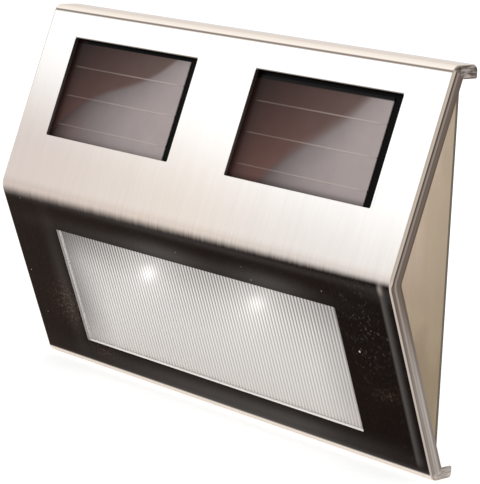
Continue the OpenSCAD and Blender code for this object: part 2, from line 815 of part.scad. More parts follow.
// Two short leads run from each panel's back straight to the circuit board
module solar_leads() color("firebrick") {
    for (side = [-1, 1], k = [-1, 1]) {
        x = side * lead_x + k * lead_d;
        a = up_at(lead_v, panel_floor - fit);
        b = up_at(lead_v, panel_rear);
        tube([
            [x, a[0], a[1]], [x, b[0], b[1]], [x, board_front - 1, b[1] - 0.6], [x, board_front, b[1] - 0.6]
        ], lead_d / 2, 8, [1, 0, 0]);
    }
}

// One lead runs from each battery contact, round the end of the bay, to the circuit board
module battery_leads() color("crimson") {
    x0 = bay_l / 2 + wall;
    for (side = [-1, 1])
        tube([
            [side * x0, bay_y - 1, bay_z], [side * (x0 + 1.4), bay_y - 1, bay_z],
            [side * (x0 + 2.4), bay_y - 1.2, bay_z + 1.6], [side * (x0 + 2.2), bay_y - 1.4, bay_z + 5],
            [side * (x0 + 1), bay_y - 1, bay_z + 9], [side * (x0 - 2.4), bay_y - 0.8, board_z - 4.2],
            [side * 24.5, board_front - 1.4, board_z - 4], [side * 24.5, board_front, board_z - 4]
        ], lead_d / 2, 8, [0, 1, 0]);
}

// Two leads run side by side from the lamp board's end, round the bay, to the circuit board
module led_leads() color("white") {
    x0 = led_board_w / 2;
    for (d = [-0.8, 0.8])
        tube([
            [-x0, led_front + 0.6, led_z + d], [-x0 - 2, led_front + 0.6, led_z + d],
            [-x0 - 6 + d / 2, led_front + 0.6, led_z + 1.2 + d],
            [-x0 - 9.5 + d, led_front + 0.6, led_z + 5 + d / 2],
            [-x0 - 10.5 + d, led_front + 0.4, led_z + 9], [-x0 - 10.5 + d, led_front - 2, led_z + 13],
            [-x0 - 10.5 + d, led_front - 4.5, led_z + 18], [-x0 - 9.5 + d, led_front - 6, led_z + 22.5],
            [-x0 - 7 + d / 2, led_front - 6, led_z + 26.5 - d / 2],
            [-x0 - 3, board_front - 2.2, board_z - 2 - d], [-27.2, board_front - 1.8, board_z - 0.6 - d],
            [-25.8, board_front - 1, board_z - 0.2 - d], [-25.8, board_front, board_z - 0.2 - d]
        ], lead_d / 2, 8, [0, 0, 1]);
}

front_cover();
side_plate(-1);  // side_plate_left
side_plate(1);  // side_plate_right
inner_housing();
solar_panel(-1);  // solar_panel_left
solar_panel(1);  // solar_panel_right
solar_cells(-1);  // solar_cells_left
solar_cells(1);  // solar_cells_right
panel_seal(-1);  // panel_seal_left
panel_seal(1);  // panel_seal_right
lens();
lens_seal();
reflector();
led_board();
led(-1);  // led_left
led(1);  // led_right
circuit_board();
driver_chip();
coil();
capacitor();
resistors();
board_screws();
switch_body();
switch_knob();
battery();
battery_spring();
battery_plate();
battery_door();
door_seal();
door_screws();
back_cover();
back_seal();
cover_screws();
solar_leads();
battery_leads();
led_leads();
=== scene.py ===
import math

import bmesh
import bpy
from mathutils import Matrix, Vector
from mathutils.geometry import delaunay_2d_cdt


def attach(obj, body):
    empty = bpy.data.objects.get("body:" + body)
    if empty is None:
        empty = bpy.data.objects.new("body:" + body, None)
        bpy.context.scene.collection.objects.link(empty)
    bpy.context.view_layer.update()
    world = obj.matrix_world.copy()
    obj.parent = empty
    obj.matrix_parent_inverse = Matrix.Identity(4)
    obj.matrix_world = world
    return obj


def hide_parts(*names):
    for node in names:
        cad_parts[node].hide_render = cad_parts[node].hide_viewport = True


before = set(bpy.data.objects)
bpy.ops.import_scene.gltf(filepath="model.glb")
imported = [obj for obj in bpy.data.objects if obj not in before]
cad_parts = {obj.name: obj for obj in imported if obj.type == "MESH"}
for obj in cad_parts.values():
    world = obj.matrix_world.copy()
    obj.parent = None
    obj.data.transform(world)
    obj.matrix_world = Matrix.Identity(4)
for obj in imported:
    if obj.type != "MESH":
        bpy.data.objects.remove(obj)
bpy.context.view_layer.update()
print("frame loaded:", len(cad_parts), "nodes")

mm = 0.001
steelRelief, mouldRelief = 0.00003, 0.00008  # metres


def placeObject(name, data):
    made = bpy.data.objects.new(name, data)
    bpy.context.scene.collection.objects.link(made)
    return made


# Camera, at the photograph's viewing angle

view = {
    "azimuth": 47.95,
    "elevation": 11.06,
    "roll": 2.60,
    "distance": 482.3,
    "aim": (28.84, -28.0, -14.66),
    "lens": 164.66,
}


def placeCamera():
    az, el, roll = (math.radians(view[k]) for k in ("azimuth", "elevation", "roll"))
    back = Vector((math.sin(az) * math.cos(el), -math.cos(az) * math.cos(el), math.sin(el)))
    level = (-back).cross(Vector((0, 0, 1))).normalized()
    upright = level.cross(-back)
    right = math.cos(roll) * level + math.sin(roll) * upright
    up = -math.sin(roll) * level + math.cos(roll) * upright
    data = bpy.data.cameras.new("photoView")
    data.sensor_fit = "HORIZONTAL"
    data.sensor_width = 36
    data.lens = view["lens"]
    data.clip_start = 0.01
    data.clip_end = 20
    camera = placeObject("photoView", data)
    place = (Vector(view["aim"]) + back * view["distance"]) * mm
    turn = Matrix((right, up, back)).transposed().to_4x4()
    camera.matrix_world = Matrix.Translation(place) @ turn
    bpy.context.scene.camera = camera


placeCamera()
print("camera placed")

# Small helpers for meshes and nodes


def tone(red, green, blue):
    # Screen values from 0 to 255 as the linear colour that Blender takes.
    def linear(c):
        c /= 255
        return c / 12.92 if c <= 0.04045 else ((c + 0.055) / 1.055) ** 2.4
    return (linear(red), linear(green), linear(blue), 1.0)


def placeMesh(name, mesh, sharpAngle):
    # Smooth faces, with sharp edges above the angle.
    for polygon in mesh.polygons:
        polygon.use_smooth = True
    mesh.set_sharp_from_angle(angle=math.radians(sharpAngle))
    return placeObject(name, mesh)


def makePiece(name, points, faces, materials, second=()):
    # Faces whose numbers are in second take the second material.
    mesh = bpy.data.meshes.new(name)
    mesh.from_pydata([tuple(p) for p in points], [], faces)
    for material in materials:
        mesh.materials.append(material)
    for number in second:
        mesh.polygons[number].material_index = 1
    mesh.validate()
    return placeMesh(name, mesh, 35)


def add(tree, kind, inputs=None, **settings):
    made = tree.nodes.new(kind)
    for name, value in settings.items():
        setattr(made, name, value)
    for key, value in (inputs or {}).items():
        if isinstance(value, bpy.types.NodeSocket):
            tree.links.new(value, made.inputs[key])
        else:
            made.inputs[key].default_value = value
    return made


def calc(tree, operation, a, b=0.0, c=0.0):
    return add(tree, "ShaderNodeMath", {0: a, 1: b, 2: c}, operation=operation).outputs[0]


def times(tree, a, b):
    return calc(tree, "MULTIPLY", a, b)


def timesPlus(tree, a, b, c):
    return calc(tree, "MULTIPLY_ADD", a, b, c)


def minus(tree, a, b):
    return calc(tree, "SUBTRACT", a, b)


def step(tree, value, low, high, ends=(0.0, 1.0)):
    # A soft step from ends[0] at low to ends[1] at high.
    if low > high:
        low, high, ends = high, low, (ends[1], ends[0])
    return add(tree, "ShaderNodeMapRange", {
        "Value": value, "From Min": low, "From Max": high, "To Min": ends[0], "To Max": ends[1],
    }, interpolation_type="SMOOTHSTEP").outputs["Result"]


def band(tree, value, low, high, soft):
    # 1 between low and high, with soft ends.
    return times(tree, step(tree, value, low - soft, low + soft),
                step(tree, value, high - soft, high + soft, (1.0, 0.0)))


def blend(tree, factor, first, second, kind="MIX"):
    return add(tree, "ShaderNodeMix", {0: factor, 6: first, 7: second},
               data_type="RGBA", blend_type=kind).outputs[2]


def combine(tree, x, y, z):
    return add(tree, "ShaderNodeCombineXYZ", {0: x, 1: y, 2: z}).outputs[0]


def split(tree, vector):
    made = add(tree, "ShaderNodeSeparateXYZ", {0: vector})
    return made.outputs[0], made.outputs[1], made.outputs[2]


def noise(tree, vector, scale, detail=2.0, rough=0.5):
    return add(tree, "ShaderNodeTexNoise", {
        "Vector": vector, "Scale": scale, "Detail": detail, "Roughness": rough}).outputs[0]


def newMaterial(name, **plain):
    material = bpy.data.materials.new(name)
    material.use_nodes = True
    tree = material.node_tree
    shader = tree.nodes["Principled BSDF"]
    for key, value in plain.items():
        shader.inputs[key.replace("_", " ")].default_value = value
    return material, tree, shader


def feed(tree, shader, **sockets):
    for key, value in sockets.items():
        tree.links.new(value, shader.inputs[key.replace("_", " ")])


def bumpTo(tree, shader, height, strength, distance):
    made = add(tree, "ShaderNodeBump", {"Strength": strength, "Distance": distance, "Height": height})
    tree.links.new(made.outputs[0], shader.inputs["Normal"])


def newGroup(name, inputs, outputs):
    tree = bpy.data.node_groups.new(name, "ShaderNodeTree")
    for sockets, side in ((inputs, "INPUT"), (outputs, "OUTPUT")):
        for label, kind in sockets.items():
            tree.interface.new_socket(label, in_out=side, socket_type="NodeSocket" + kind)
    return tree, tree.nodes.new("NodeGroupInput").outputs, tree.nodes.new("NodeGroupOutput").inputs


def useGroup(tree, group, inputs):
    return add(tree, "ShaderNodeGroup", inputs, node_tree=group).outputs


def objectPlace(tree):
    return add(tree, "ShaderNodeTexCoord").outputs["Object"]


def placeInMm(tree):
    return add(tree, "ShaderNodeMapping", {
        "Vector": objectPlace(tree), "Scale": (1000, 1000, 1000)}).outputs[0]


# Effects that several finishes share


def makeBrushMarks():
    # Fine lines along the second axis of Place, which is in millimetres.
    tree, given, out = newGroup("brushMarks", {"Place": "Vector", "Fineness": "Float", "Length": "Float"},
                                {"Marks": "Float", "Clouds": "Float"})
    across, along, third = split(tree, given["Place"])
    stretched = combine(tree, times(tree, across, given["Fineness"]),
                        calc(tree, "DIVIDE", along, given["Length"]), third)
    fine = noise(tree, stretched, 1.0, 3.0, 0.65)
    coarse = noise(tree, stretched, 0.22, 2.0, 0.5)
    both = timesPlus(tree, fine, 0.65, times(tree, coarse, 0.35))
    tree.links.new(step(tree, both, 0.3, 0.7), out["Marks"])
    tree.links.new(noise(tree, given["Place"], 0.035, 2.0, 0.5), out["Clouds"])
    return tree


def makeMouldGrain():
    # The fine spark-eroded grain of moulded plastic, with a slow change of tone.
    tree, given, out = newGroup("mouldGrain", {"Place": "Vector", "Fineness": "Float"},
                                {"Grain": "Float", "Tone": "Float"})
    tree.links.new(noise(tree, given["Place"], given["Fineness"]), out["Grain"])
    tree.links.new(noise(tree, given["Place"], 60.0, 3.0, 0.6), out["Tone"])
    return tree


def makeSpecks():
    # Scattered small specks, 1 on a speck.
    tree, given, out = newGroup("specks", {
        "Place": "Vector", "Spacing": "Float", "Size": "Float", "Share": "Float"}, {"Mask": "Float"})
    cells = add(tree, "ShaderNodeTexVoronoi", {
        "Vector": given["Place"], "Scale": calc(tree, "DIVIDE", 1.0, given["Spacing"])})
    near = calc(tree, "LESS_THAN", cells.outputs["Distance"], given["Size"])
    chosen = calc(tree, "LESS_THAN", split(tree, cells.outputs["Color"])[0], given["Share"])
    tree.links.new(times(tree, near, chosen), out["Mask"])
    return tree


brushMarks = makeBrushMarks()
mouldGrain = makeMouldGrain()
specks = makeSpecks()

# Housing, in millimetres as the CAD part has it

housing = {
    "halfWidth": 70.0,
    "top": (-6.2, 28.0),
    "ridge": (-22.2, -17.5),
    "bottom": (-5.0, -63.0),
    "sheet": 0.8,
    "rimDepth": 3.0,
    "edgeRadius": 1.4,
    "bendRadius": 2.1,
    "ridgeRadius": 5.0,
    "windowRadius": 0.35,
    "panelWindow": (33.85, 27.715, 47.3, 25.43),  # middle across, middle up from the ridge, width, height
    "lensWindow": (0.0, -25.271, 100.2, 31.742),
}

top, ridge, bottom = (Vector(housing[k]) for k in ("top", "ridge", "bottom"))
upDir, lowDir = (top - ridge).normalized(), (bottom - ridge).normalized()
upIn, lowIn = Vector((upDir[1], -upDir[0])), Vector((-lowDir[1], lowDir[0]))
flangeTopIn, flangeBottomIn = Vector((0, -1)), Vector((0, 1))
upAngle, lowAngle = math.atan2(upDir[0], upDir[1]), math.atan2(lowDir[0], -lowDir[1])


def onUpper(x, v, depth):
    # A point of the part, in metres, at v up the upper slope and at a depth under its face.
    p = ridge + upDir * v + upIn * depth
    return Vector((x, p[0], p[1])) * mm


def onLower(x, v, depth):
    # The same on the lower slope, where v runs down and is below zero.
    p = ridge - lowDir * v + lowIn * depth
    return Vector((x, p[0], p[1])) * mm


def cornerUnder(at, a, b, depth):
    return at + (a + b) * depth / (1 + a.dot(b))


def bendPoints(at, a, b, radius, start, end, depth, steps):
    if depth >= radius:
        return [cornerUnder(at, a, b, depth)] * (steps + 1)
    middle = cornerUnder(at, a, b, radius)
    return [middle + (radius - depth) * Vector((math.cos(t), math.sin(t)))
            for t in (start + (end - start) * i / steps for i in range(steps + 1))]


bendSteps = 10  # facets of each rounding
ridgeSteps = 20
edgeSteps = 8
cornerSteps = 6
upperFlat = bendSteps + 1  # the stations where the flat slopes begin, counted from the top flange's end
lowerFlat = bendSteps + ridgeSteps + 2
ridgeStation = (upperFlat + 1 + lowerFlat) // 2
mergeGap = 2e-6  # metres


def sideOutline(depth):
    # The folded sheet's outline in side view at a depth, from the top flange's end to the bottom's.
    h = housing
    quarter = math.pi / 2
    upper, lower = math.pi - upAngle, math.pi + lowAngle
    bend = h["bendRadius"]
    return ([Vector((0, h["top"][1] - depth))]
            + bendPoints(top, flangeTopIn, upIn, bend, quarter, upper, depth, bendSteps)
            + bendPoints(ridge, upIn, lowIn, h["ridgeRadius"], upper, lower, depth, ridgeSteps)
            + bendPoints(bottom, lowIn, flangeBottomIn, bend, lower, 3 * quarter, depth, bendSteps)
            + [Vector((0, h["bottom"][1] + depth))])


def unrolledHeights():
    # The height of each station on the unfolded sheet, from zero at the ridge.
    line = sideOutline(0)
    heights = [0.0]
    for a, b in zip(line, line[1:]):
        heights.append(heights[-1] - (b - a).length)
    return [v - heights[ridgeStation] for v in heights]


def crossSection():
    # The closed section across the sheet: x, depth and distance across the unfolded sheet.
    h = housing
    w, r, t, d = h["halfWidth"], h["edgeRadius"], h["sheet"], h["rimDepth"]
    flatEnd = w - r
    half = []
    for i in range(edgeSteps + 1):
        a = math.pi / 2 * i / edgeSteps
        half.append((flatEnd + r * math.sin(a), r * (1 - math.cos(a)), flatEnd + r * a))
    rimStart = half[-1][2]
    half.append((w, d - t / 2, rimStart + d - t / 2 - r))
    for i in range(1, edgeSteps):
        a = math.pi * i / edgeSteps
        half.append((w - t / 2 + t / 2 * math.cos(a), d - t / 2 + t / 2 * math.sin(a), rimStart + d - r))
    half.append((w - t, d - t / 2, rimStart + d - t / 2 - r))
    for i in range(edgeSteps + 1):
        a = math.pi / 2 * (1 - i / edgeSteps)
        half.append((flatEnd + (r - t) * math.sin(a), t + (r - t) * (1 - math.cos(a)),
                     flatEnd + (r - t) * a))
    return [(-x, n, -u) for x, n, u in reversed(half)] + half


def roundedLoop(middleX, middleV, width, height, radius, grow):
    loop = []
    w, h, r = width / 2 + grow, height / 2 + grow, radius + grow
    for quarter, (sx, sv) in enumerate(((1, 1), (-1, 1), (-1, -1), (1, -1))):
        for i in range(cornerSteps + 1):
            a = math.pi / 2 * (quarter + i / cornerSteps)
            loop.append((middleX + sx * (w - r) + r * math.cos(a),
                         middleV + sv * (h - r) + r * math.sin(a)))
    return loop


def insideLoop(point, loop):
    inside = False
    for (x0, v0), (x1, v1) in zip(loop, loop[1:] + loop[:1]):
        if (v0 > point[1]) != (v1 > point[1]) and point[0] < (x1 - x0) * (point[1] - v0) / (v1 - v0) + x0:
            inside = not inside
    return inside


class SheetBuilder:
    # Gathers the points of the folded sheet with their places on the unfolded sheet.

    def __init__(self):
        self.points, self.places, self.faces, self.cutFaces = [], [], [], []

    def point(self, position, place):
        self.points.append(position)
        self.places.append(place)
        return len(self.points) - 1


def slopeFill(build, corners, holes, flip):
    # Fills a flat slope between its four corners, less its holes; each corner is (index, x, v).
    flatPoints = [Vector((x, v)) for _, x, v in corners]
    known = [index for index, _, _ in corners]
    edges = [(i, (i + 1) % len(corners)) for i in range(len(corners))]
    for loop, indices in holes:
        start = len(flatPoints)
        flatPoints += [Vector(p) for p in loop]
        known += indices
        edges += [(start + i, start + (i + 1) % len(loop)) for i in range(len(loop))]
    made, _, triangles, origin, _, _ = delaunay_2d_cdt(flatPoints, edges, [], 1, 1e-5)
    for triangle in triangles:
        middle = sum((made[i] for i in triangle), Vector((0, 0))) / 3
        if any(insideLoop(middle, loop) for loop, _ in holes):
            continue
        indices = [known[origin[i][0]] for i in triangle]
        build.faces.append(indices[::-1] if flip else indices)


def makeFrontCover(outerSteel, cutEdge):
    build = SheetBuilder()
    section = crossSection()
    heights = unrolledHeights()
    columns = [sideOutline(n) for _, n, _ in section]
    grid = []
    for i, height in enumerate(heights):
        grid.append([build.point(Vector((x, columns[j][i][0], columns[j][i][1])) * mm, (u, height))
                     for j, (x, _, u) in enumerate(section)])
    count = len(section)
    outer = [j for j in range(count) if section[j][1] == 0]
    inner = [0, count - 1]
    flats = {upperFlat: onUpper, lowerFlat: onLower}
    for i in range(len(heights) - 1):
        for j in range(count):
            k = (j + 1) % count
            middle = (j, k) in ((outer[0], outer[1]), (inner[1], inner[0]))
            if i in flats and middle:
                continue
            build.faces.append([grid[i][j], grid[i][k], grid[i + 1][k], grid[i + 1][j]])
    # end caps at the wall, between the outer and the inner skin
    half = count // 2
    for i, flip in ((0, True), (len(heights) - 1, False)):
        rightCap = [(grid[i][half + k], grid[i][count - 1 - k]) for k in range(half // 2)]
        leftCap = [(grid[i][half - 1 - k], grid[i][k]) for k in range(half // 2)]
        for chain, turn in ((rightCap, flip), (leftCap, not flip)):
            for (a, b), (c, d) in zip(chain, chain[1:]):
                face = [a, c, d, b]
                build.faces.append(face[::-1] if turn else face)
        face = [rightCap[0][0], rightCap[0][1], leftCap[0][1], leftCap[0][0]]
        build.faces.append(face[::-1] if flip else face)
        for tip in (half + half // 2, half // 2):
            build.faces.append([grid[i][tip + k] for k in (-1, 0, 1)])
    # windows: a rounded punched edge, then a straight wall to the inner face
    h = housing
    px, pv, pw, ph = h["panelWindow"]
    windows = {upperFlat: [(-px, pv, pw, ph), (px, pv, pw, ph)], lowerFlat: [h["lensWindow"]]}
    rounding = 0.14
    halfway = rounding * 0.293  # in the middle of the rounding
    edge = [(rounding, 0.0), (halfway, halfway), (0.0, rounding), (0.0, h["sheet"])]
    for i, place in flats.items():
        holesOut, holesIn = [], []
        for middleX, middleV, w, hh in windows[i]:
            rings = []
            for grow, depth in edge:
                loop = roundedLoop(middleX, middleV, w, hh, h["windowRadius"], grow)
                rings.append((loop, [build.point(place(x, v, depth), (x, v)) for x, v in loop]))
            holesOut.append(rings[0])
            holesIn.append(rings[-1])
            for ring, ((_, first), (_, second)) in enumerate(zip(rings, rings[1:])):
                for k in range(len(first)):
                    m = (k + 1) % len(first)
                    if ring == len(edge) - 2:
                        build.cutFaces.append(len(build.faces))
                    build.faces.append([first[k], second[k], second[m], first[m]])
        for flip, holes, ends in ((False, holesOut, outer), (True, holesIn, inner)):
            corners = []
            for row, column in ((i, 0), (i, 1), (i + 1, 1), (i + 1, 0)):
                j = ends[column]
                x = section[j][0]
                p = build.points[grid[row][j]] / mm
                v = (Vector((p[1], p[2])) - ridge).dot(upDir if place is onUpper else -lowDir)
                corners.append((grid[row][j], x, v))
            slopeFill(build, corners, holes, flip)
    piece = makePiece("frontCover", build.points, build.faces, [outerSteel, cutEdge], second=build.cutFaces)
    mesh = piece.data
    layer = mesh.uv_layers.new(name="sheet")
    for loop in mesh.loops:
        layer.data[loop.index].uv = build.places[loop.vertex_index]
    work = bmesh.new()
    work.from_mesh(mesh)
    bmesh.ops.remove_doubles(work, verts=work.verts, dist=mergeGap)
    bmesh.ops.dissolve_degenerate(work, edges=work.edges, dist=mergeGap / 2)
    bmesh.ops.recalc_face_normals(work, faces=work.faces)
    openEdges = sum(1 for e in work.edges if len(e.link_faces) != 2)
    work.to_mesh(mesh)
    work.free()
    mesh.set_sharp_from_angle(angle=math.radians(50))
    normals = piece.modifiers.new("evenNormals", "WEIGHTED_NORMAL")
    normals.keep_sharp = True
    print("front cover:", len(mesh.polygons), "faces,", openEdges, "open edges")
    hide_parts("front_cover")
    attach(piece, "light")


# The sheet's finish: brushed down the slopes, with painted light: bright above the ridge and a painted dark
# reflection below it

coverLook = {
    "bright": tone(252, 251, 249),
    "lowLeft": tone(215, 204, 198),
    "lowMiddle": tone(227, 217, 208),
    "lowRight": tone(223, 217, 213),
    "streak": tone(190, 176, 166),
    "flange": tone(253, 243, 232),
    "flangeBack": tone(250, 247, 243),
    "foldShade": tone(136, 122, 112),
    "lowerBend": tone(247, 241, 234),
    "windowLine": tone(140, 130, 122),
    "turn": tone(245, 241, 238),
    "dark": tone(7, 4, 3),
    "darkWarm": tone(18, 10, 8),
    "paleReflection": tone(86, 83, 81),
    "dust": tone(224, 217, 210),
    "soil": tone(112, 92, 78),
    "edgeLine": tone(176, 163, 150),
    "edgeUpper": tone(192, 179, 165),
    "edgeLower": tone(186, 173, 163),
    "rimUpper": tone(110, 97, 88),
    "rimLower": tone(144, 136, 130),
    "rimShine": tone(190, 180, 174),
    "rimLinesAndShade": tone(62, 52, 44),
    "roughness": 0.36,
    "edgeTint": (0.68, 0.63, 0.61, 1.0),
    "upperFold": 46.9,  # along the unfolded sheet, in millimetres
    "lowerFold": -46.7,
    "edgeStart": 68.7,
    "rimStart": 69.4,
    "reflectionPatches": ((-9.0, -7.4, 11.0, 2.4, 0.32), (30.0, -7.6, 11.0, 2.4, 0.42), (-8.0, -7.9, 40.0, 2.2, 0.3),
              (4.0, -44.9, 46.0, 2.6, 0.62), (-53.2, -26.0, 2.6, 17.0, 0.25), (70.0, -3.5, 12.0, 1.5, 0.15),
              (0.0, -1.9, 95.0, 1.0, 0.24), (28.0, -44.5, 12.0, 2.2, 0.2), (20.0, -46.6, 75.0, 0.55, 0.35)),
    "soils": ((-54.0, -31.5, 5.0, 5.5, 0.6), (-44.0, -43.0, 6.0, 1.8, 0.45), (61.0, -29.0, 4.0, 1.6, 0.35)),
    "scratched": ((59.0, -15.0, 6.0, 11.0, 0.09),),
    "scratchTurns": (0.6, -0.75),
    "specks": ((2.6, 0.06, 0.12, 0.35), (6.1, 0.045, 0.22, 0.65)),  # spacing, size, share, strength
}


def spots(tree, u, v, places, total=0.0):
    # Adds soft round patches, which fall away from their middles over their widths and heights.
    for middleU, middleV, width, height, strength in places:
        du = calc(tree, "DIVIDE", minus(tree, u, middleU), width)
        dv = calc(tree, "DIVIDE", minus(tree, v, middleV), height)
        fall = times(tree, timesPlus(tree, du, du, times(tree, dv, dv)), -1.0)
        total = timesPlus(tree, calc(tree, "EXPONENT", fall), strength, total)
    return total


def makeCoverSteel():
    look = coverLook
    material, tree, shader = newMaterial("brushedSteel", Metallic=1.0, Specular_Tint=look["edgeTint"])
    place = add(tree, "ShaderNodeUVMap", uv_map="sheet").outputs[0]
    u, v, _ = split(tree, place)
    aside = calc(tree, "ABSOLUTE", u)
    upper, lower, edgeStart = look["upperFold"], look["lowerFold"], look["edgeStart"]
    marks = useGroup(tree, brushMarks, {"Place": place, "Fineness": 1.6, "Length": 16.0})
    fine = useGroup(tree, brushMarks, {"Place": place, "Fineness": 3.2, "Length": 9.0})
    # painted shading: bright at the top, darker and warmer towards the ridge, most of all at the left
    tilted = timesPlus(tree, u, 0.11, v)
    low = step(tree, tilted, 32.5, 3.5)
    ground = blend(tree, step(tree, u, -70.0, 5.0), look["lowLeft"], look["lowMiddle"])
    ground = blend(tree, step(tree, u, -5.0, 45.0), ground, look["lowRight"])
    colour = blend(tree, low, look["bright"], ground)
    depth = timesPlus(tree, low, 0.13, 0.02)
    streaks = times(tree, depth, timesPlus(tree, marks["Marks"], 0.5, times(tree, fine["Marks"], 0.5)))
    colour = blend(tree, streaks, colour, look["streak"])
    # the top flange, warmer near its bend; a painted shade line where the top bend begins; the lower bend
    # painted bright as a reflection of the floor
    flange = blend(tree, step(tree, v, 49.5, 52.0), look["flange"], look["flangeBack"])
    colour = blend(tree, step(tree, v, upper, upper + 0.4), colour, flange)
    colour = blend(tree, band(tree, v, 46.55, 47.1, 0.18), colour, look["foldShade"])
    colour = blend(tree, step(tree, v, lower, lower - 0.6), colour, look["lowerBend"])
    # a painted reflection on the punched edges: a thin grey line along the top of each panel window and
    # beside the right one
    px, pv, pw, ph = housing["panelWindow"]
    inside = band(tree, aside, px - pw / 2, px + pw / 2, 0.1)
    topLine = times(tree, inside, band(tree, v, pv + ph / 2, pv + ph / 2 + 0.22, 0.06))
    sideLine = times(tree, band(tree, u, px + pw / 2 + 0.6, px + pw / 2 + 0.8, 0.12),
                     band(tree, v, pv - ph / 2, pv + 3.0, 2.0))
    colour = blend(tree, timesPlus(tree, sideLine, 0.25, topLine), colour, look["windowLine"])
    # the painted dark reflection on the face below the ridge, with a softly streaked border
    shift = timesPlus(tree, fine["Marks"], 0.36, timesPlus(tree, marks["Marks"], 0.22, -0.29))
    height = minus(tree, v, times(tree, shift, step(tree, u, 30.0, 62.0, (1.0, 0.4))))
    sideEnd = minus(tree, aside, step(tree, u, -1.0, 1.0, (0.0, 0.25)))
    inFace = times(tree, step(tree, v, lower - 0.6, lower), step(tree, sideEnd, 68.85, 68.6))
    # painted shade where the sheet turns over the ridge
    colour = blend(tree, step(tree, height, 3.2, 0.9), colour, look["turn"], "MULTIPLY")
    dark = blend(tree, marks["Clouds"], look["dark"], look["darkWarm"])
    # pale soft patches of painted reflection on the dark face, with a faint random mottle
    mottle = noise(tree, place, 1.1, 4.0, 0.7)
    patches = spots(tree, u, v, look["reflectionPatches"], times(tree, step(tree, mottle, 0.5, 0.8), 0.1))
    dark = blend(tree, patches, dark, look["paleReflection"])
    # brownish dust in a few places, and short scratches that run two ways
    soil = times(tree, spots(tree, u, v, look["soils"]),
                 step(tree, noise(tree, place, 1.3, 3.0, 0.6), 0.48, 0.66))
    dark = blend(tree, soil, dark, look["soil"])
    where = spots(tree, u, v, look["scratched"], 0.012)
    for turn in look["scratchTurns"]:
        across = timesPlus(tree, u, math.cos(turn), times(tree, v, math.sin(turn)))
        along = timesPlus(tree, v, math.cos(turn), times(tree, u, -math.sin(turn)))
        strokes = noise(tree, combine(tree, times(tree, across, 2.6), times(tree, along, 0.7), turn),
                        1.0, 1.0)
        dark = blend(tree, times(tree, step(tree, strokes, 0.66, 0.76), where), dark, look["dust"])
    # a painted reflection: a bright line that runs beside the right edge, widest at the ridge
    falling = step(tree, u, 69.2, 65.6)
    beside = times(tree, step(tree, u, 65.1, 66.1), times(tree, falling, falling))
    edgeShine = times(tree, beside, step(tree, v, -46.6, -44.0, (0.0, 1.0)))
    dark = blend(tree, times(tree, edgeShine, 0.85), dark, look["paleReflection"])
    for spacing, size, share, strength in look["specks"]:
        dust = useGroup(tree, specks, {"Place": place, "Spacing": spacing, "Size": size, "Share": share})
        dark = blend(tree, times(tree, dust["Mask"], strength), dark, look["dust"])
    lowest = timesPlus(tree, u, 0.0144, -1.65)
    share = calc(tree, "DIVIDE", minus(tree, height, lowest), minus(tree, 1.2, lowest))
    colour = blend(tree, times(tree, step(tree, share, 1.0, 0.0), inFace), colour, dark)
    # a warm band of painted reflection beside the right edge at the ridge
    warm = times(tree, band(tree, u, 65.4, 66.6, 0.6), band(tree, v, -2.6, -0.6, 1.0))
    colour = blend(tree, times(tree, warm, 0.35), colour, look["edgeUpper"])
    # the rolled side edges and the rims behind them, in painted reflections: other tones above and below
    # the ridge, the left edge painted bright, and painted highlight and shade lines beside the brushed
    # marks
    above = step(tree, v, -0.8, 0.8)
    edge = blend(tree, above, look["edgeLower"], look["edgeUpper"])
    edge = blend(tree, step(tree, u, 1.0, -1.0), edge, look["bright"])
    edge = blend(tree, times(tree, band(tree, aside, 68.95, 69.3, 0.08), above), edge, look["edgeLine"])
    colour = blend(tree, step(tree, sideEnd, edgeStart, edgeStart + 0.18), colour, edge)
    rim = blend(tree, step(tree, v, 2.0, -30.0), look["rimUpper"], look["rimLower"])
    along = useGroup(tree, brushMarks, {"Place": place, "Fineness": 4.5, "Length": 30.0})
    rim = blend(tree, times(tree, along["Marks"], 0.45), rim, look["rimLinesAndShade"])
    rim = blend(tree, times(tree, band(tree, aside, 70.15, 70.6, 0.15), 0.35), rim, look["rimShine"])
    shine = times(tree, band(tree, aside, 70.8, 71.3, 0.3), step(tree, v, -4.0, -36.0, (0.0, 0.6)))
    rim = blend(tree, shine, rim, look["rimShine"])
    rim = blend(tree, times(tree, step(tree, aside, 71.3, 71.9), step(tree, v, -30.0, 0.0, (0.1, 0.3))),
                rim, look["rimLinesAndShade"])
    ends = times(tree, step(tree, calc(tree, "ABSOLUTE", v), 46.2, 48.0), fine["Marks"])
    rim = blend(tree, times(tree, ends, 0.7), rim, look["rimShine"])
    beyond = minus(tree, aside, timesPlus(tree, above, 0.35, look["rimStart"]))
    colour = blend(tree, step(tree, beyond, -0.05, 0.15), colour, rim)
    # a painted shade line where the rim begins
    bendShade = times(tree, band(tree, beyond, 0.0, 0.3, 0.1), timesPlus(tree, above, 0.45, 0.25))
    colour = blend(tree, bendShade, colour, look["rimLinesAndShade"])
    # painted highlights and shade of small crumples at the rims' ends, by the flanges
    creases = noise(tree, combine(tree, times(tree, aside, 1.3),
                                  timesPlus(tree, v, 0.28, times(tree, u, 0.3)), 3.0), 1.0, 2.0, 0.6)
    tip = times(tree, step(tree, calc(tree, "ABSOLUTE", v), 46.7, 47.5), step(tree, aside, 69.1, 69.5))
    deep = blend(tree, above, look["rimLower"], look["rimLinesAndShade"])
    creased = blend(tree, times(tree, step(tree, creases, 0.4, 0.66),
                                timesPlus(tree, above, -0.3, 1.0)), deep, look["rimShine"])
    colour = blend(tree, times(tree, tip, 0.85), colour, creased)
    rough = timesPlus(tree, marks["Marks"], 0.1, look["roughness"] - 0.05)
    feed(tree, shader, Base_Color=colour, Roughness=rough)
    bumpTo(tree, shader, calc(tree, "ADD", marks["Marks"], fine["Marks"]), 0.08, steelRelief)
    return material


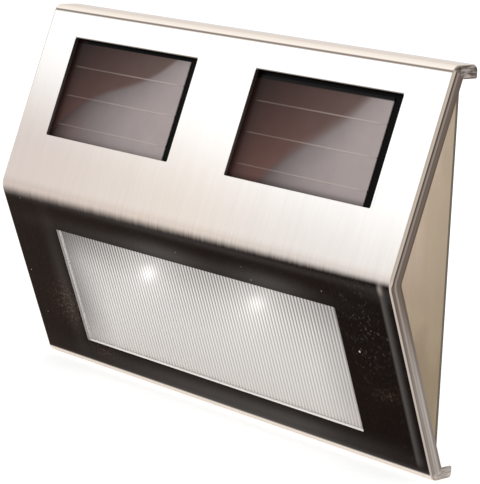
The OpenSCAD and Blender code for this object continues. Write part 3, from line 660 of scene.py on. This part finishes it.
def makeCutSteel():
    # The sheared walls of the windows, painted with what they mirror: dark at the panels and pale, not
    # metallic, at the lens, greyer at its left end.
    material, tree, shader = newMaterial("cutSteel", Specular_Tint=coverLook["edgeTint"])
    place = placeInMm(tree)
    x, _, z = split(tree, place)
    marks = noise(tree, place, 0.9, 2.0)
    dark = blend(tree, marks, tone(8, 6, 6), tone(4, 3, 3))
    # each panel window's left wall is painted with the panel's brown, a painted reflection, darker higher
    # up
    leftWall = calc(tree, "ADD", calc(tree, "LESS_THAN", x, -57.0), band(tree, x, 9.7, 10.6, 0.05))
    brown = blend(tree, step(tree, z, 22.0, 0.0), tone(46, 36, 32), tone(78, 67, 63))
    dark = blend(tree, leftWall, dark, brown)
    metal = minus(tree, 1.0, leftWall)
    pale = blend(tree, step(tree, x, -49.0, -50.0), tone(255, 251, 247), tone(176, 170, 166))
    above = step(tree, z, ridge[1] - 1.0, ridge[1] + 1.0)
    colour = blend(tree, above, pale, dark)
    feed(tree, shader, Base_Color=colour, Roughness=timesPlus(tree, marks, 0.2, 0.3),
         Metallic=times(tree, above, metal))
    return material


makeFrontCover(makeCoverSteel(), makeCutSteel())

# Lens: a plate with fine rounded ribs down its slope

lensLook = {
    "ribs": 92,
    "ribHeight": 0.3,
    "ribsWidth": 99.6,
    "ribsLength": 31.6,
    "runOut": 0.06,
    "rooted": 0.4,
    "face": 1.2,
    "thickness": 2.0,
    "bevel": 0.15,
    "lap": 1.6,
    "lamps": ((-16.9, 15.0, 0.34), (22.0, 14.7, 0.2)),  # across, down the slope, strength
    "glowSize": 2.0,
    "haloSize": 6.4,
    "halo": 0.085,
    "veil": 0.12,
    "veilFall": -0.13,
    "crown": tone(222, 218, 215),
    "valley": tone(92, 84, 78),
    "leftEnd": tone(130, 125, 122),
    "lowTint": tone(208, 200, 195),
    "topShade": tone(70, 62, 57),
}


def newGeometryTree(name, inputs):
    # A tree with named inputs, their sockets' identifiers and their values.
    tree = bpy.data.node_groups.new(name, "GeometryNodeTree")
    face = tree.interface
    face.new_socket("Geometry", in_out="INPUT", socket_type="NodeSocketGeometry")
    sockets = {}
    for label, kind in [*inputs.items(), ("Material", "Material")]:
        sockets[label] = face.new_socket(label, in_out="INPUT", socket_type="NodeSocket" + kind).identifier
    face.new_socket("Geometry", in_out="OUTPUT", socket_type="NodeSocketGeometry")
    return tree, sockets, tree.nodes.new("NodeGroupInput").outputs


def repeatShape(tree, given, count, offset, shape):
    # Ends a tree with the shape repeated on a line, as real faces of the given material.
    line = add(tree, "GeometryNodeMeshLine", {"Count": count, "Offset": offset})
    spread = add(tree, "GeometryNodeInstanceOnPoints", {"Points": line.outputs[0], "Instance": shape})
    solid = add(tree, "GeometryNodeRealizeInstances", {"Geometry": spread.outputs[0]})
    dressed = add(tree, "GeometryNodeSetMaterial", {
        "Geometry": solid.outputs[0], "Material": given["Material"]})
    tree.links.new(dressed.outputs[0], tree.nodes.new("NodeGroupOutput").inputs[0])


def ribTree():
    # Ribs side by side across X, each rounded in section and lying along Y.
    tree, sockets, given = newGeometryTree("lensRibs", {
        "Ribs": "Int", "Pitch": "Float", "Height": "Float", "Length": "Float", "Run-out": "Float"})
    rib = add(tree, "GeometryNodeMeshGrid", {
        "Size X": given["Pitch"], "Size Y": given["Length"], "Vertices X": 9, "Vertices Y": 4})
    x, y, _ = split(tree, add(tree, "GeometryNodeInputPosition").outputs[0])
    share = calc(tree, "DIVIDE", x, times(tree, given["Pitch"], 0.5))
    crown = minus(tree, 1.0, times(tree, share, share))
    inner = calc(tree, "LESS_THAN", calc(tree, "ABSOLUTE", y), times(tree, given["Length"], 0.3))
    reach = minus(tree, times(tree, given["Length"], 0.5), times(tree, given["Run-out"], inner))
    newY = times(tree, calc(tree, "SIGN", y), reach)
    newZ = times(tree, times(tree, crown, inner), given["Height"])
    shaped = add(tree, "GeometryNodeSetPosition", {
        "Geometry": rib.outputs["Mesh"], "Position": combine(tree, x, newY, newZ)})
    repeatShape(tree, given, given["Ribs"], combine(tree, given["Pitch"], 0.0, 0.0), shaped.outputs[0])
    return tree, sockets


def runTree(name, tree, sockets, values):
    # Runs a Geometry Nodes tree and returns its result as a plain mesh.
    holder = placeObject(name, bpy.data.meshes.new(name))
    modifier = holder.modifiers.new(name, "NODES")
    modifier.node_group = tree
    for label, value in values.items():
        modifier[sockets[label]] = value
    bpy.context.view_layer.update()
    graph = bpy.context.evaluated_depsgraph_get()
    mesh = bpy.data.meshes.new_from_object(holder.evaluated_get(graph))
    bpy.data.objects.remove(holder)
    return mesh


def makeFrostedLens():
    look = lensLook
    material, tree, shader = newMaterial("frostedLens", Roughness=0.3, IOR=1.45, Emission_Strength=1.0)
    place = placeInMm(tree)
    xMm, _, z = split(tree, place)
    down = calc(tree, "DIVIDE", minus(tree, z, ridge[1]), lowDir[1])
    pitch = look["ribsWidth"] / look["ribs"]
    fromLeft = calc(tree, "ADD", xMm, look["ribsWidth"] / 2)
    ribPlace = calc(tree, "FRACT", calc(tree, "DIVIDE", fromLeft, pitch))
    fromCrown = calc(tree, "ABSOLUTE", minus(tree, ribPlace, 0.5))
    valley = step(tree, fromCrown, 0.1, 0.45)
    # painted shade in the ribs' valleys, which stand out most under the top edge, and fade into a plain
    # grey end at the left
    leaning = timesPlus(tree, down, 0.15, xMm)
    plainEnd = step(tree, leaning, -49.0, -35.0, (0.12, 1.0))
    contrast = times(tree, plainEnd, times(tree, step(tree, down, 30.0, 8.0, (0.5, 1.0)),
                                           step(tree, xMm, -40.0, 45.0, (1.0, 0.9))))
    colour = blend(tree, times(tree, valley, contrast), look["crown"], look["valley"])
    # painted shade: greyer at the left end and a little at the right end
    greyer = calc(tree, "ADD", step(tree, xMm, -36.0, -52.0), step(tree, xMm, 36.0, 50.0, (0.0, 0.4)))
    colour = blend(tree, greyer, colour, look["leftEnd"])
    # darker towards the bottom, with faint random clouds
    clouds = noise(tree, place, 0.05, 2.0)
    lower = times(tree, step(tree, down, 30.0, 42.0), 0.4)
    colour = blend(tree, timesPlus(tree, clouds, 0.1, lower), colour, look["lowTint"])
    # a painted shadow under the top edge, deepest at the left
    shaded = times(tree, step(tree, down, 19.5, 8.5), step(tree, xMm, -46.0, -20.0, (0.64, 0.28)))
    colour = blend(tree, shaded, colour, look["topShade"])
    feed(tree, shader, Base_Color=colour)
    # the lamps' glow, painted on the lens as light from its own face: a bright spot, a halo and a wide veil
    # round each lamp
    glow = 0.0
    for lampX, lampDown, strength in look["lamps"]:
        dx = minus(tree, xMm, lampX)
        dv = minus(tree, down, lampDown)
        slanted = times(tree, dx, timesPlus(tree, dx, 0.526, times(tree, dv, 0.755)))
        far = calc(tree, "SQRT", calc(tree, "ADD", slanted, times(tree, dv, dv)))
        one = times(tree, calc(tree, "EXPONENT", times(tree, far, look["veilFall"])), look["veil"])
        for size, share in ((look["glowSize"], strength), (look["haloSize"], look["halo"])):
            reach = calc(tree, "POWER", calc(tree, "DIVIDE", far, size), 2.0)
            one = timesPlus(tree, calc(tree, "EXPONENT", times(tree, reach, -1.0)), share, one)
        glow = calc(tree, "ADD", one, glow)
    light = blend(tree, glow, (0, 0, 0, 1), (1, 0.99, 0.98, 1))
    feed(tree, shader, Emission_Color=light)
    return material


def makeLens(material):
    look = lensLook
    _, middleV, width, height = housing["lensWindow"]
    pitch = look["ribsWidth"] / look["ribs"]
    tree, sockets = ribTree()
    mesh = runTree("lensRibs", tree, sockets, {
        "Ribs": look["ribs"], "Pitch": pitch, "Height": look["ribHeight"],
        "Length": look["ribsLength"], "Run-out": look["runOut"], "Material": material})
    # from the tree's own axes, X across, Y up the slope and Z outwards, to the lower slope
    shift = (pitch - look["ribsWidth"]) / 2
    work = bmesh.new()
    work.from_mesh(mesh)
    for vert in work.verts:
        across, up, out = vert.co
        vert.co = onLower(across + shift, middleV + up, look["face"] - out)
    bmesh.ops.remove_doubles(work, verts=work.verts, dist=mergeGap)
    # the ribs go on a little way into the plate, and are closed there
    rim = [edge for edge in work.edges if edge.is_boundary]
    walls = bmesh.ops.extrude_edge_only(work, edges=rim)["geom"]
    inward = onLower(0.0, 0.0, look["rooted"]) - onLower(0.0, 0.0, 0.0)
    ends = [part for part in walls if isinstance(part, bmesh.types.BMVert)]
    bmesh.ops.translate(work, verts=ends, vec=inward)
    bmesh.ops.contextual_create(work, geom=[
        part for part in walls if isinstance(part, bmesh.types.BMEdge) and part.is_boundary])
    bmesh.ops.recalc_face_normals(work, faces=work.faces)
    # the plate behind the ribs
    w, h = width / 2 + look["lap"], height / 2 + look["lap"]
    front, bevel = look["face"], look["bevel"]
    back = front + look["thickness"]
    rings = []
    for grow, depth in ((-bevel, front), (0.0, front + bevel), (0.0, back - bevel), (-bevel, back)):
        rings.append([work.verts.new(onLower(sx * (w + grow), middleV + sv * (h + grow), depth))
                      for sx, sv in ((1, 1), (-1, 1), (-1, -1), (1, -1))])
    for first, second in zip(rings, rings[1:]):
        for k in range(4):
            work.faces.new((first[k], second[k], second[(k + 1) % 4], first[(k + 1) % 4]))
    work.faces.new(rings[0])
    work.faces.new(rings[-1][::-1])
    work.to_mesh(mesh)
    work.free()
    piece = placeMesh("ribbedLens", mesh, 40)
    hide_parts("lens")
    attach(piece, "light")
    print("lens:", len(mesh.polygons), "faces")


makeLens(makeFrostedLens())

# Finishes of the CAD nodes that stay


def dress(material, *nodes):
    for name in nodes:
        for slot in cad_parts[name].material_slots:
            slot.material = material


def moulded(name, colour, other, roughness, grainStrength=0.15, fineness=3500.0, **plain):
    material, tree, shader = newMaterial(name, **plain)
    grain = useGroup(tree, mouldGrain, {"Place": objectPlace(tree), "Fineness": fineness})
    feed(tree, shader, Base_Color=blend(tree, grain["Tone"], tone(*colour), tone(*other)),
         Roughness=timesPlus(tree, grain["Tone"], 0.12, roughness - 0.06))
    bumpTo(tree, shader, grain["Grain"], grainStrength, mouldRelief)
    return material


def plated(name, colour, other, roughness):
    material, tree, shader = newMaterial(name, Metallic=1.0)
    grain = useGroup(tree, mouldGrain, {"Place": objectPlace(tree), "Fineness": 900.0})
    feed(tree, shader, Base_Color=blend(tree, grain["Tone"], tone(*colour), tone(*other)),
         Roughness=timesPlus(tree, grain["Grain"], 0.16, roughness - 0.08))
    bumpTo(tree, shader, grain["Grain"], 0.06, steelRelief)
    return material


def makeSideSteel():
    material, tree, shader = newMaterial("sidePlateSteel", Metallic=1.0)
    place = placeInMm(tree)
    _, y, z = split(tree, place)
    marks = useGroup(tree, brushMarks, {"Place": combine(tree, y, z, 0.0), "Fineness": 1.6, "Length": 20.0})
    # painted shading: lighter and warmer towards the top, with soft clouds of painted reflection, painted
    # shade towards the back edge, and hardly any lines
    colour = blend(tree, step(tree, z, -45.0, 7.0), tone(131, 114, 93), tone(188, 170, 154))
    clouds = step(tree, noise(tree, place, 0.09, 3.0, 0.55), 0.38, 0.62)
    colour = blend(tree, times(tree, clouds, 0.5), colour, tone(166, 150, 126))
    colour = blend(tree, times(tree, step(tree, y, -12.0, -1.0), 0.5), colour, tone(146, 131, 110))
    colour = blend(tree, times(tree, marks["Marks"], 0.08), colour, tone(140, 126, 110))
    feed(tree, shader, Base_Color=colour, Roughness=timesPlus(tree, marks["Marks"], 0.1, 0.33))
    bumpTo(tree, shader, marks["Marks"], 0.08, steelRelief)
    return material


panelLook = {
    "deepBrown": (1.8, 0.86, 0.72, 1.0),
    "paleBrown": (1.42, 0.92, 0.81, 1.0),
    "sheenTint": (1.12, 0.95, 0.93, 1.0),
    "shade": tone(3, 2, 2),
    "line": tone(196, 180, 174),
    "borderLeft": (3.2, 0.345, 0.005, 0.0007),  # level, slope, bend and twist of each curve
    "borderRight": (0.0, 0.7, 0.0, 0.0012),
    "brownLeft": (86.0, 1.25),
    "brownRight": (87.0, 1.25),
    "grey": (143.0, 1.7, -0.045),
}


def makePanelFace():
    # A panel's face: brown, with a painted grey reflection below a curved border, painted shade at the
    # left, a painted shadow at the top, and both tones graded across the face as painted shading.
    look = panelLook
    tree, given, out = newGroup("panelFace", {"Place": "Vector"}, {"Colour": "Color", "Across": "Float"})
    x, y, z = split(tree, given["Place"])
    middleX, middleV = housing["panelWindow"][:2]
    onRight = calc(tree, "GREATER_THAN", x, 0.0)
    local = minus(tree, x, times(tree, calc(tree, "SIGN", x), middleX))
    square = times(tree, local, local)
    cube = times(tree, square, local)
    up = timesPlus(tree, minus(tree, z, ridge[1]), upDir[1],
                   timesPlus(tree, minus(tree, y, ridge[0]), upDir[0], -middleV))

    def curve(level, slope, bend=0.0, twist=0.0):
        return timesPlus(tree, cube, twist, timesPlus(tree, square, bend,
                                                      timesPlus(tree, local, slope, level)))

    def either(first, second):
        return calc(tree, "ADD", times(tree, onRight, second),
                    times(tree, minus(tree, 1.0, onRight), first))

    # the border of the painted reflection in each window, softer in the right one
    border = either(curve(*look["borderLeft"]), curve(*look["borderRight"]))
    under = minus(tree, border, up)
    sheen = step(tree, calc(tree, "DIVIDE", under, timesPlus(tree, onRight, 1.6, 0.9)), -1.0, 1.0)
    # screen levels of the brown and of the painted reflection, graded across the face as painted shading
    brown = timesPlus(tree, up, -1.2, either(curve(*look["brownLeft"]), curve(*look["brownRight"])))
    rise = calc(tree, "EXPONENT", times(tree, calc(tree, "MAXIMUM", under, 0.0), -0.2))
    grey = timesPlus(tree, rise, -32.0, curve(*look["grey"]))
    level = calc(tree, "ADD", brown, times(tree, sheen, minus(tree, grey, brown)))
    # painted shade towards each window's left end
    fade = times(tree, step(tree, local, -36.0, -17.0, (1.0, 0.0)), timesPlus(tree, sheen, -0.6, 1.0))
    level = times(tree, level, minus(tree, 1.0, fade))
    mottle = noise(tree, given["Place"], 0.25, 3.0)
    level = times(tree, level, timesPlus(tree, mottle, 0.08, 0.94))
    linear = timesPlus(tree, calc(tree, "POWER", calc(tree, "DIVIDE", level, 255.0), 2.2), 0.95,
                       step(tree, local, -25.0, -17.0, (-0.002, -0.012)))
    linear = calc(tree, "MAXIMUM", linear, 0.0)
    tint = blend(tree, step(tree, local, -20.0, 12.0), look["deepBrown"], look["paleBrown"])
    tint = blend(tree, times(tree, sheen, step(tree, local, -26.0, -6.0, (0.45, 1.0))), tint,
                 look["sheenTint"])
    colour = blend(tree, 1.0, tint, combine(tree, linear, linear, linear), "MULTIPLY")
    # a painted shadow along the top of each window, wider in the right one, and painted shade at the right
    # window's foot
    rim = timesPlus(tree, onRight, -1.75, 12.75)
    colour = blend(tree, step(tree, minus(tree, up, rim), -0.15, 0.25), colour, look["shade"])
    foot = times(tree, onRight, step(tree, up, -11.0, -12.4, (0.0, 0.3)))
    colour = blend(tree, foot, colour, look["shade"])
    tree.links.new(colour, out["Colour"])
    tree.links.new(local, out["Across"])
    return tree


panelFace = makePanelFace()


def makeCellFinish(name, lines):
    material, tree, shader = newMaterial(name, Roughness=0.3, IOR=1.18)
    place = placeInMm(tree)
    face = useGroup(tree, panelFace, {"Place": place})
    colour = face["Colour"]
    if lines:
        shown = band(tree, face["Across"], -21.6, 17.6, 1.4)
        strength = step(tree, face["Across"], -16.0, 10.0, (0.12, 0.36))
        colour = blend(tree, times(tree, shown, strength), colour, panelLook["line"])
    feed(tree, shader, Base_Color=colour)
    bumpTo(tree, shader, noise(tree, place, 0.4, 2.0), 0.05, 0.0001)
    return material


def makeBackPlastic():
    # The back cover's black, with its edges beside the side plates painted brown as a painted shadow line
    # beside the shaded steel.
    material, tree, shader = newMaterial("backPlastic")
    place = objectPlace(tree)
    grain = useGroup(tree, mouldGrain, {"Place": place, "Fineness": 3500.0})
    colour = blend(tree, grain["Tone"], tone(30, 29, 28), tone(42, 41, 40))
    aside = calc(tree, "ABSOLUTE", split(tree, place)[0])
    colour = blend(tree, step(tree, aside, 0.06505, 0.06515), colour, tone(84, 72, 56))
    feed(tree, shader, Base_Color=colour, Roughness=timesPlus(tree, grain["Tone"], 0.12, 0.49))
    bumpTo(tree, shader, grain["Grain"], 0.35, mouldRelief)
    return material


def makePanelBase():
    # The resin round the cells is black, and at its left end takes the panel face's brown, with its painted
    # reflection and shade.
    material, tree, shader = newMaterial("panelBase", Roughness=0.35, IOR=1.12)
    place = placeInMm(tree)
    face = useGroup(tree, panelFace, {"Place": place})
    black = blend(tree, noise(tree, place, 0.5, 2.0), tone(4, 3, 3), tone(7, 5, 5))
    leftEnd = step(tree, face["Across"], -20.0, -21.0)
    feed(tree, shader, Base_Color=blend(tree, leftEnd, black, face["Colour"]))
    bumpTo(tree, shader, noise(tree, place, 0.4, 2.0), 0.05, 0.0001)
    return material


dress(makeSideSteel(), "side_plate_left", "side_plate_right")
dress(makeCellFinish("solarCells", False), "solar_cells_left", "solar_cells_right")
dress(makePanelBase(), "solar_panel_left", "solar_panel_right")
dress(moulded("panelSeal", (46, 38, 35), (38, 31, 28), 0.7, 0.2, 2200.0),
      "panel_seal_left", "panel_seal_right")
dress(moulded("sealRubber", (36, 31, 27), (46, 40, 35), 0.75, 0.2, 2200.0), "door_seal", "back_seal")
# the clear seal is given a faint glow, painted light
dress(moulded("clearSeal", (206, 200, 196), (194, 188, 184), 0.6, 0.1,
              Emission_Color=(1.0, 0.96, 0.93, 1.0), Emission_Strength=0.3), "lens_seal")
dress(moulded("blackPlastic", (30, 29, 28), (42, 41, 40), 0.55, 0.35),
      "inner_housing", "battery_door", "driver_chip", "resistors")
dress(makeBackPlastic(), "back_cover")
dress(moulded("whitePlastic", (236, 236, 233), (226, 226, 222), 0.35, 0.08), "reflector", "switch_knob")
dress(moulded("boardMask", (36, 104, 58), (28, 90, 50), 0.35, 0.1, 500.0), "led_board", "circuit_board")
dress(moulded("lampResin", (250, 250, 252), (240, 242, 250), 0.12, 0.02), "led_left", "led_right")
dress(moulded("coilFerrite", (62, 55, 52), (48, 42, 40), 0.6, 0.3), "coil")
dress(moulded("capacitorResin", (210, 150, 50), (192, 134, 40), 0.35, 0.08), "capacitor")
dress(moulded("batterySleeve", (46, 128, 86), (38, 112, 76), 0.3, 0.05, Coat_Weight=0.3), "battery")
dress(moulded("redLead", (176, 32, 30), (156, 26, 26), 0.5, 0.1), "solar_leads", "battery_leads")
dress(moulded("whiteLead", (228, 228, 224), (214, 214, 210), 0.5, 0.1), "led_leads")
dress(plated("zincScrew", (206, 208, 212), (184, 186, 190), 0.34),
      "board_screws", "door_screws", "cover_screws")
dress(plated("switchTin", (196, 196, 198), (178, 178, 180), 0.36), "switch_body")
dress(plated("nickelContact", (216, 214, 208), (198, 196, 190), 0.24), "battery_spring", "battery_plate")
print("finishes done:", len(bpy.data.materials), "materials")

# Pale lines between the cell strips

cellLook = {
    "lines": 3,
    "pitch": 7.5075,
    "lowest": 18.53,  # up from the ridge to the lowest line
    "width": 0.34,
    "thickness": 0.2,
    "length": 44.2,
    "shift": -2.15,  # from the window's middle to the lines' middle
    "depth": 1.42,
}


def lineTree():
    # Thin bars side by side up the panel.
    tree, sockets, given = newGeometryTree("cellLines", {"Lines": "Int", "Pitch": "Float", "Bar": "Vector"})
    bar = add(tree, "GeometryNodeMeshCube", {
        "Size": given["Bar"], "Vertices X": 12, "Vertices Y": 2, "Vertices Z": 2})
    repeatShape(tree, given, given["Lines"], combine(tree, 0.0, given["Pitch"], 0.0), bar.outputs["Mesh"])
    return tree, sockets


def makeCellLines(material):
    look = cellLook
    tree, sockets = lineTree()
    for side, name in ((-1, "cellLinesLeft"), (1, "cellLinesRight")):
        mesh = runTree(name, tree, sockets, {
            "Lines": look["lines"], "Pitch": look["pitch"],
            "Bar": (look["length"], look["width"], look["thickness"]), "Material": material})
        middle = side * housing["panelWindow"][0] + look["shift"]
        centre = look["depth"] + look["thickness"] / 2
        for vert in mesh.vertices:
            across, up, out = vert.co
            vert.co = onUpper(middle + across, look["lowest"] + up, centre - out)
        work = bmesh.new()
        work.from_mesh(mesh)
        bmesh.ops.recalc_face_normals(work, faces=work.faces)
        work.to_mesh(mesh)
        work.free()
        piece = placeObject(name, mesh)
        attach(piece, "light")
    print("cell lines:", look["lines"], "on each panel")


makeCellLines(makeCellFinish("cellLines", True))

# Floor and light

stageLook = {
    "floorSize": 3.0,
    "floorGap": 0.0002,
    "worldStrength": 1.0,
    "keyPower": 0.35,
    "fillPower": 0.15,
    "floorGlow": 0.66,
}


def makeStage():
    # The floor glows a little, so that the shadow on it stays faint.
    material, tree, shader = newMaterial("paleFloor", Roughness=0.9, Emission_Color=(1, 1, 1, 1),
                                         Emission_Strength=stageLook["floorGlow"])
    clouds = noise(tree, objectPlace(tree), 6.0)
    feed(tree, shader, Base_Color=blend(tree, clouds, tone(200, 200, 199), tone(196, 196, 195)))
    size = stageLook["floorSize"]
    low = housing["bottom"][1] * mm - stageLook["floorGap"]
    corners = [(x * size, y * size, low) for x, y in ((-1, -1), (1, -1), (1, 1), (-1, 1))]
    floor = makePiece("paleFloor", corners, [[0, 1, 2, 3]], [material])
    world = bpy.data.worlds.new("studio")
    bpy.context.scene.world = world
    world.use_nodes = True
    ground = world.node_tree.nodes["Background"]
    ground.inputs["Color"].default_value = (1.0, 1.0, 1.0, 1.0)
    ground.inputs["Strength"].default_value = stageLook["worldStrength"]
    bpy.context.scene.view_settings.view_transform = "Standard"


def makeLamp(name, place, size, power):
    # A square lamp that shines at the light's middle.
    data = bpy.data.lights.new(name, "AREA")
    data.shape = "RECTANGLE"
    data.size = data.size_y = size
    data.energy = power
    turn = (-Vector(place)).to_track_quat("-Z", "Y").to_matrix().to_4x4()
    placeObject(name, data).matrix_world = Matrix.Translation(place) @ turn


makeStage()
makeLamp("key", (-0.6, -0.75, 0.55), 0.6, stageLook["keyPower"])
makeLamp("fill", (0.7, -0.5, 0.5), 0.5, stageLook["fillPower"])
print("stage and light done")
